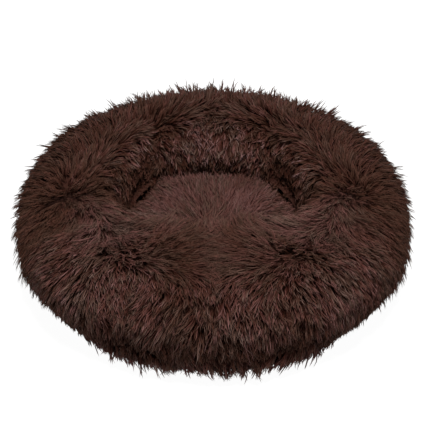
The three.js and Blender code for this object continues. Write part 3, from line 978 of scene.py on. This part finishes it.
def lie_of_bolster(tufts, zone, to_crease, swing):
    """The direction along the backing in which each tuft lies, before its noise and its lift.

    It is a sum of pushes. The pile turns from outwards to sideways at the parting on the crest and on to
    downwards in the nest, closes over the creases and fans out round the dimples. It comes forwards in
    the nest, at the sides and in front. On the front ridge it runs in from both dimples to the middle.
    """
    root, normal = tufts["root"], tufts["normal"]
    rightwards = np.clip(3 * np.cos(tufts["azimuth"]), -1, 1)
    around = rightwards * np.cos(swing) * (0.6 * zone["rear"] - 0.8 * zone["shoulder"])
    around = around + 0.4 * np.sign(to_crease) * zone["crease"]
    inwards = -np.sin(np.clip(root[:, 0] / MEETING_LENGTH, -1, 1) * math.pi / 2)
    side_nest = zone["nest"] * (1 - zone["rear"]) * (1 - zone["front"])
    forwards = np.maximum(0.7 * zone["ahead"], 0.55 * zone["beside"])
    forwards = forwards + 0.8 * zone["nest_wall"] + 0.6 * side_nest
    lean = tufts["along"] * np.sin(swing)[:, None] + tufts["around"] * around[:, None] + zone["fan"]
    lean[:, 0] += 1.6 * zone["calm"] * inwards
    lean[:, 1] -= forwards
    lean[:, 0] *= 1 - 0.45 * zone["straight"]
    return unit(lean - dot(lean, normal) * normal)


def comb_bolster(tufts, rng):
    """Sets the directions, size and looks of each tuft of the ring.

    A tuft's direction is the lie of the pile, turned by noise and lifted off the backing. Lifts and tones
    are sums over the zones and lengths are products over them. The other looks go with how crisp it is.
    """
    root, normal, number = tufts["root"], tufts["normal"], len(tufts["root"])
    zone, to_crease = zones_of(tufts)
    swing = swing_over_crest(tufts, zone["rear"])
    zone["fan"], zone["dimple"] = whorls(root, normal, zone["nest"])
    zone["shoulder_crest"] = zone["shoulder"] * np.cos(swing)
    zone["raised_crest"] = np.cos(swing) * (1 - 0.7 * np.maximum(zone["rear"], zone["flank"]))
    zone["flat_shoulder"] = zone["shoulder_top"] * (1 - zone["dimple"])
    crisp = np.maximum.reduce([share * zone[name] for name, share in CRISPNESS.items()])
    calm, zone["crisp"] = zone["calm"], crisp
    zone["soft"] = (1 - 0.6 * calm) * (1 - crisp)

    lean = lie_of_bolster(tufts, zone, to_crease, swing)
    loose = 1 - 0.8 * calm - 0.4 * zone["aside"] * zone["not_calm"]
    noise = 0.28 * ripple(root, 0.1, rng) + 0.2 * ripple(root, 0.03, rng) + rng.normal(0, 0.1, number)
    noise = noise * loose + rng.normal(0, 1, number) * (zone["dimple"] + 0.35 * zone["low"])
    lean = turn_about(lean, normal, noise)
    bent = turn_about(lean, normal, rng.normal(0, 0.25, number) * loose)
    raised = (7 * ripple(root, 0.035, rng) + 6 * rng.normal(size=number)) * loose
    zone["wild"] = rng.random(number) < WILD_SHARE * loose
    at_root, at_tip = ({name: lifts[end] for name, lifts in LIFTS.items()} for end in (0, 1))
    lift = np.radians(summed(at_root, zone) + raised)[:, None]
    tip_lift = np.radians(summed(at_tip, zone) + raised)[:, None]
    tufts["leave"] = unit(lean * np.cos(lift) + normal * np.sin(lift))
    arrive = bent * np.cos(tip_lift) + normal * np.sin(tip_lift)
    arrive[:, 2] -= DROOP * (1 - np.clip(normal[:, 2], 0, 1)) * (1 + zone["nest"])
    tufts["arrive"] = unit(arrive)

    length = STRAND_LENGTH * rng.uniform(0.8, 1.15, number)
    for name, gain in LENGTHS.items():
        length = length * (1 + gain * zone[name])
    tufts["length"] = length * (1 - UNDER_FOLD_LOSS * zone["under_fold"] - HOLLOW_LOSS * zone["hollow"])
    tufts["spread"] = TUFT_SPREAD * rng.uniform(0.75, 1.25, number) * (2.7 - 1.6 * crisp) * (1 + 0.2 * calm)
    tufts["width"] = STRAND_WIDTH * mix(0.45, 1, crisp) * (1 + 0.12 * zone["nest_wall"])
    # Where the painted shade at the roots starts: the soft zones get lighter roots
    tufts["root_shade_start"] = (0.74 - 0.08 * calm) * (1 - crisp)
    for look, amounts in LOOKS.items():
        tufts[look] = summed(amounts, zone)
    tufts["phase"] = 3 * ripple(root, 0.05, rng)
    tone = 0.08 * ripple(root, 0.06, rng) + rng.normal(0, 1, number) * summed(TONE_NOISE, zone)
    tufts["tone"] = tone + summed(TONES, zone)
    redness = 0.6 * ripple(root, 0.05, rng) + 0.9 * rng.normal(size=number)
    tufts["red"] = redness > summed(RED_EDGE, zone)


def comb_cushion(tufts, rng):
    """Tufts of the cushion fan out from its middle, finer and softer than those of the bolster."""
    root, normal, number = tufts["root"], tufts["normal"], len(tufts["root"])
    lean = root * np.array([1, 1, 0]) + np.array([0, 0.02, 0])
    lean = unit(lean - dot(lean, normal) * normal)
    noise = 0.35 * ripple(root, 0.07, rng) + rng.normal(0, 0.22, number)
    lean = turn_about(lean, normal, noise)
    lift = np.radians(46 + 5 * rng.normal(size=number))[:, None]
    tip_lift = np.radians(18 + 7 * rng.normal(size=number))[:, None]
    tufts["leave"] = unit(lean * np.cos(lift) + normal * np.sin(lift))
    bent = turn_about(lean, normal, rng.normal(0, 0.3, number))
    tufts["arrive"] = unit(bent * np.cos(tip_lift) + normal * np.sin(tip_lift))
    off_corner = angle_between(np.arctan2(root[:, 1], np.abs(root[:, 0])), CORNER)
    corner = bell(off_corner, CUSHION_CORNER_WIDTH)
    corner = corner * smooth(*CUSHION_CORNER_RADII, np.hypot(root[:, 0], root[:, 1]))
    tufts["length"] = 0.78 * STRAND_LENGTH * rng.uniform(0.85, 1.15, number) * (1 - 0.72 * corner)
    tufts["spread"] = 3 * TUFT_SPREAD * rng.uniform(0.8, 1.25, number)
    for key, value in CUSHION_LOOKS.items():
        tufts[key] = np.full(number, value)
    tufts["phase"] = 3 * ripple(root, 0.05, rng)
    # Painted shade darkens the cushion's pile in the nest's corners
    tufts["tone"] = 0.46 + 0.06 * ripple(root, 0.06, rng) + rng.normal(0, 0.06, number) - 0.6 * corner
    tufts["red"] = 0.5 * ripple(root, 0.05, rng) + 0.9 * rng.normal(size=number) > -0.5


PUFFS = ["right_rear", "back", "left_rear", "left_front", "front", "right_front"]


def by_puff(tufts):
    """The panels of the bolster's pile: one for the outer and one for the inner side of each puff."""
    turned_by = np.mod(tufts["azimuth"], TAU)
    puff = np.searchsorted(PLEATS, turned_by, side="right") - 1
    for index, label in enumerate(PUFFS):
        yield f"{label}_lower", (puff == index) & (tufts["place"] < PANEL_PLACE)
        yield f"{label}_upper", (puff == index) & (tufts["place"] >= PANEL_PLACE)


def by_half(tufts):
    """The two panels of the cushion's pile."""
    yield "left", tufts["root"][:, 0] < 0
    yield "right", tufts["root"][:, 0] >= 0


def lining_arc(azimuth, gap=0, seat_gap=0):
    """The lining's inner face, from near the inner seam over the crest to the girth, drawn in by a gap.

    The gap for the seat on the cushion is added to it past the bulge.
    """
    radius, height, place = outer_face(azimuth, SECTION_STEPS)
    kept = np.arange(len(place[0]) - 1, -1, -2)
    kept = kept[(place[0, kept] <= 4.5) & (place[0, kept] >= 1)]
    place = place[:, kept]
    depth = mix(LINING_DEPTH, TUCKED_DEPTH, smooth(3.4, 4.2, place))
    depth = depth + gap + seat_gap * smooth(3.0, 3.6, place)
    return drawn_to_core(radius[:, kept], height[:, kept], depth)


def bolster_backing():
    """The sleeve's backing cloth: its outer face under the pile, closed by the lining's face inside."""
    azimuth = azimuths(360)
    seam, foot = (SEAM_RADIUS + SEAM_EDGE, SEAM_HEIGHT), (FOOT_RADIUS - FOOT_EDGE, FOOT_HEIGHT)
    parts = zip(skin_section(azimuth, SECTION_STEPS), seam, lining_arc(azimuth), foot)
    radius, height = (
        np.hstack([skin, np.full((len(azimuth), 1), at_seam), lining, np.full((len(azimuth), 1), at_foot)])
        for skin, at_seam, lining, at_foot in parts
    )
    points = turned(radius, height, azimuth)
    piece = ring_body("bolster_plush", points, BACKING)
    grid_map(piece, *points.shape[:2])
    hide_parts("bolster_cover")


def ground(radius, height, azimuth, place):
    """What tufts grow on: the points of a grid with their places, tangents and normals."""
    points = turned(radius, height, azimuth)
    around, along, normal = surface_frame(points)
    return {"points": points, "place": place, "around": around, "along": along, "normal": normal}


def bolster_ground():
    azimuth = azimuths(720)
    radius, height, place = skin_section(azimuth, 40)
    return ground(radius, height, azimuth, place)


def cushion_section(azimuth, share, radius, height, gathered):
    """The crowned profile of the cushion, its edge dropped by the gathers as they deepen outwards."""
    across, up = quarter((radius, SEAM_HEIGHT), (0, height), share, CUSHION_SQUARENESS)
    deepens = smooth(GATHER_START_SHARE * CUSHION_RADIUS, CUSHION_RADIUS, across)
    drop = GATHER_DEPTH * deepens * (1 - np.cos(GATHER_COUNT * azimuth)) / 2
    return across, up - gathered * drop * smooth(SEAM_HEIGHT, SEAM_HEIGHT + 2 * GATHER_DEPTH, up)


def cushion_top(azimuth, share):
    return cushion_section(azimuth, share, CUSHION_RADIUS, CUSHION_HEIGHT - CUSHION_PILE_DEPTH, 1)


def cushion_backing():
    """The disc of backing cloth under the cushion's pile, closed by its lining face."""
    azimuth = azimuths(240)[:, None]
    share = np.linspace(0, CUSHION_TOP_SHARE, 40)[None, :]
    lining = CUSHION_RADIUS - SEAM_EDGE, CUSHION_HEIGHT - CUSHION_LINING_DEPTH
    faces = zip(cushion_section(azimuth, share, *lining, 0), cushion_top(azimuth, share))
    radius, height = (np.hstack([foot[:, ::-1], top]) for foot, top in faces)
    piece = dome("cushion_plush", radius, height, azimuth[:, 0], CUSHION_BACKING)
    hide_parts("cushion_cover")


def close_ends(piece):
    """Fills the open ends of a tube with one face each, and turns all faces outwards."""
    mesh = bmesh.new()
    mesh.from_mesh(piece.data)
    bmesh.ops.holes_fill(mesh, edges=[edge for edge in mesh.edges if edge.is_boundary], sides=0)
    bmesh.ops.recalc_face_normals(mesh, faces=mesh.faces)
    mesh.to_mesh(piece.data)
    mesh.free()


def cushion_ground():
    """The cushion's face on a grid that is even up its edge and then even in towards the middle."""
    azimuth = azimuths(360)
    edge = np.linspace(0, CUSHION_EDGE_SHARE, 60)
    top = np.linspace(math.cos(CUSHION_EDGE_SHARE * math.pi / 2) ** 0.5, 0.01, 61)[1:]
    share = np.append(edge, np.arccos(top**2) / (math.pi / 2))[None, :]
    return ground(*cushion_top(azimuth[:, None], share), azimuth, share + 0 * azimuth[:, None])


def grid_map(piece, rows, columns):
    """The piece's own map: its way round the ring across and its way along the section upwards."""
    row, column = np.meshgrid(np.arange(rows), np.arange(columns), indexing="ij")
    u = (row[..., None] + [0, 1, 1, 0]) / rows
    v = (column[..., None] + [0, 0, 1, 1]) / columns
    layer = piece.data.uv_layers.new(name="OFBake")
    layer.data.foreach_set("uv", np.stack([u, v], -1).astype(np.float32).ravel())


def lump_depth(noise, height):
    """Depth of the lumps in the fibre: deepest where the noise is 1, and fading out towards the base."""
    return LUMP_DEPTH * np.clip(0.5 + 0.5 * noise, 0, 1) * smooth(*LUMP_HEIGHTS, height)


def bolster_fibre():
    """The fibre in the sleeve: the lining's inner face, drawn in by a gap and by lumps, flat on the base."""
    azimuth = azimuths(360)
    arc = lining_arc(azimuth, 2 * FILL_GAP, SEAT_GAP)
    toe, heel = BASE_RADIUS - FILL_GAP, SEAM_RADIUS + SEAM_EDGE + FILL_GAP
    bottom = np.linspace((toe, FLOOR_OF_FILL), (heel, FLOOR_OF_FILL), 7)
    wall = np.linspace((heel, FLOOR_OF_FILL), (heel, SEAM_HEIGHT), 4)[1:]
    fixed = np.vstack([(toe, BINDING_TOP + FILL_GAP), bottom, wall])
    radius, height = (
        np.hstack([drawn, np.broadcast_to(straight, (len(azimuth), len(fixed)))])
        for drawn, straight in zip(arc, fixed.T)
    )
    points = turned(radius, height, azimuth)
    noise = ripple(points, 0.06, np.random.default_rng(SEED + 1))
    noise = noise + 0.6 * ripple(points, 0.025, np.random.default_rng(SEED + 2))
    depth = lump_depth(noise, height)
    depth[:, arc[0].shape[1]:] = 0
    points = turned(*drawn_to_core(radius, height, depth), azimuth)
    piece = ring_body("bolster_fibre", points, FIBRE)
    close_ends(piece)
    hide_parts("bolster_fill")


def dome(name, radius, height, azimuth, material):
    """A round body from profiles that run from near the axis below, out and up, to near it above."""
    points = turned(radius, height, azimuth)
    rows, columns = points.shape[:2]
    faces = ring_faces(rows, columns)
    faces = faces[np.arange(len(faces)) % columns != columns - 1]
    piece = new_object(name, points.reshape(-1, 3), faces, material)
    close_ends(piece)
    return piece


def cushion_fibre():
    """The pad of fibre under the cushion: flat on the base, crowned above, with lumps drawn inwards."""
    azimuth = azimuths(180)
    edge = CUSHION_RADIUS - SEAM_EDGE - FILL_GAP
    top = CUSHION_HEIGHT - CUSHION_LINING_DEPTH - FILL_GAP - GATHER_DEPTH
    crown = quarter((edge, SEAM_HEIGHT), (0, top), np.linspace(0, CUSHION_TOP_SHARE, 24), CUSHION_SQUARENESS)
    flat = np.linspace(0.005, edge - 0.004, 8)
    corner = np.array([(edge - 0.001, FLOOR_OF_FILL + 0.001), (edge, FLOOR_OF_FILL + 0.005), (edge, 0.02)])
    radius = np.concatenate([flat, corner[:, 0], crown[0]])
    height = np.concatenate([np.full(len(flat), FLOOR_OF_FILL), corner[:, 1], crown[1]])
    radius, height = (np.broadcast_to(values, (len(azimuth), len(values))) for values in (radius, height))
    noise = ripple(turned(radius, height, azimuth), 0.05, np.random.default_rng(SEED + 3))
    piece = dome("cushion_fibre", radius, height - lump_depth(noise, height), azimuth, FIBRE)
    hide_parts("cushion_fill")


def rounded(wave):
    """A sine or cosine drawn out towards its ends, as a section with rounded corners has it."""
    return np.sign(wave) * np.abs(wave) ** BAND_POWER


def band(name, node, inner, thickness, foot, height, material, waves=0, wave_depth=0.0):
    """A band of cloth on edge round the axis.

    Its section is a rounded rectangle, cosine and sine of the turn each to the power 2 / 7, and a sine
    wave round the ring moves it in and out by the wave's depth.
    """
    azimuth, turn = azimuths(360)[:, None], azimuths(20)[None, :]
    wave = wave_depth * np.sin(waves * azimuth)
    radius = inner + thickness / 2 + (thickness / 2 - wave_depth) * rounded(np.cos(turn)) + wave
    level = foot + height / 2 * (1 + rounded(np.sin(turn))) + 0 * azimuth
    piece = ring_body(name, turned(radius, level, azimuth[:, 0]), material)
    close_ends(piece)
    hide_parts(node)
    return piece


def base_cloth():
    """The cloth disc that the bed stands on, its rim puckered upwards where it is sewn into the binding."""
    azimuth = azimuths(288)[:, None]
    out = np.array([0.004, 0.06, 0.12, 0.16, 0.19, 0.2, 0.207, 0.213, 0.217, 0.22])
    rim = [BASE_RADIUS - 0.0006, BASE_RADIUS, BASE_RADIUS - 0.0006]
    radius = np.concatenate([out, rim, out[::-1]])[None, :]
    side = np.concatenate([0 * out, [0.2, 0.5, 0.8], 0 * out + 1])
    pucker = PUCKER_DEPTH * smooth(0.19, 0.22, radius) * (1 + np.sin(PUCKER_COUNT * azimuth)) / 2
    height = BASE_THICKNESS * side + pucker * (1 - side)
    piece = dome("base_cloth", radius + 0 * azimuth, height, azimuth[:, 0], BASE_CLOTH)
    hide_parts("base_panel")


bolster_backing()
cushion_backing()
bolster_fibre()
cushion_fibre()
wall = band(
    "divider_cloth", "divider_wall", CUSHION_RADIUS + CLOTH_GAP, DIVIDER_THICKNESS, FLOOR_OF_FILL,
    SEAM_HEIGHT - CLOTH_GAP - FLOOR_OF_FILL, DIVIDER_CLOTH, 48, 0.0002,
)
band(
    "gather_tape", "seam_tape", SEAM_RADIUS, TAPE_THICKNESS, SEAM_HEIGHT - TAPE_BELOW_SEAM - TAPE_WIDTH,
    TAPE_WIDTH, TAPE,
)
band(
    "binding_tape", "base_binding", BASE_RADIUS + CLOTH_GAP, BINDING_WIDTH, BINDING_RISE,
    BINDING_TOP - BINDING_RISE, TAPE, 60, 0.0004,
)
base_cloth()
tuft_share = 1
rng = np.random.default_rng(SEED)
grow(
    "bolster_pile", bolster_ground(), BOLSTER_PILE_PLACES, BOLSTER_TUFTS * tuft_share,
    comb_bolster, by_puff, rng,
)
grow(
    "cushion_pile", cushion_ground(), CUSHION_PILE_PLACES, CUSHION_TUFTS * tuft_share,
    comb_cushion, by_half, rng,
)


def aim(thing, location, target=(0, 0, 0)):
    """Links an object into the scene at a location, looking at a target."""
    bpy.context.scene.collection.objects.link(thing)
    thing.location = location
    thing.rotation_mode = "QUATERNION"
    thing.rotation_quaternion = (Vector(target) - Vector(location)).to_track_quat("-Z", "Y")


# Camera: in front of the bed and 40 degrees above the floor
CAMERA_ELEVATION = math.radians(40)
CAMERA_DISTANCE = 8 * 0.300
CAMERA_SIGHT_RISE = 0.0736
CAMERA_LENS = 131.5
CAMERA_SHIFT = -0.004

camera_data = bpy.data.cameras.new("camera")
camera = bpy.data.objects.new("camera", camera_data)
camera_data.lens = CAMERA_LENS
camera_data.sensor_width = 36
camera_data.shift_x = CAMERA_SHIFT
level, upright = math.cos(CAMERA_ELEVATION), math.sin(CAMERA_ELEVATION)
sight = CAMERA_SIGHT_RISE * Vector((0, upright, level))
aim(camera, CAMERA_DISTANCE * Vector((0, -level, upright)), sight)
bpy.context.scene.camera = camera

# Lamp, world and floor
LAMP_PLACE = (0.1, -0.8, 2.28)
LAMP_SIZE = 0.55
LAMP_POWER = 89.5
WORLD_LIGHT = 0.22
FLOOR_HALF = 4
FLOOR_GREY = 0.7
FLOOR_GREY_WHERE_SEEN = 0.12
FLOOR_GLOW_WHERE_SEEN = 0.965

lamp_data = bpy.data.lights.new("overhead_lamp", "AREA")
lamp_data.shape, lamp_data.size, lamp_data.energy = "DISK", LAMP_SIZE, LAMP_POWER
aim(bpy.data.objects.new("overhead_lamp", lamp_data), LAMP_PLACE)


def seen_directly(tree):
    """1 for a ray that shows the background, from the camera, off gloss or through glass, else 0."""
    path = tree.nodes.new("ShaderNodeLightPath")
    share = maths(tree, "ADD", path.outputs["Is Camera Ray"], path.outputs["Is Glossy Ray"])
    return maths(tree, "MINIMUM", maths(tree, "ADD", share, path.outputs["Is Transmission Ray"]), 1)


world = bpy.data.worlds.new("studio")
bpy.context.scene.world = world
world.use_nodes = True
tree = world.node_tree
background = tree.nodes["Background"].inputs
background["Color"].default_value = (1, 1, 1, 1)
strength = maths(tree, "MULTIPLY_ADD", seen_directly(tree), 1 - WORLD_LIGHT, WORLD_LIGHT)
put(background["Strength"], strength, tree.links)

floor_mesh = bpy.data.meshes.new("floor")
corners = [(x * FLOOR_HALF, y * FLOOR_HALF, 0) for x, y in ((-1, -1), (1, -1), (1, 1), (-1, 1))]
floor_mesh.from_pydata(corners, [], [(0, 1, 2, 3)])
floor = bpy.data.objects.new("floor", floor_mesh)
bpy.context.scene.collection.objects.link(floor)
floor_material, tree, given = new_material("floor", 1, 0)
seen = seen_directly(tree)
greys = ((*[grey] * 3, 1) for grey in (FLOOR_GREY, FLOOR_GREY_WHERE_SEEN))
given["Emission Color"].default_value = (1, 1, 1, 1)
put(given["Base Color"], blend(tree, seen, *greys), tree.links)
put(given["Emission Strength"], maths(tree, "MULTIPLY", seen, FLOOR_GLOW_WHERE_SEEN), tree.links)
floor_mesh.materials.append(floor_material)

bpy.context.scene.view_settings.view_transform = "Standard"
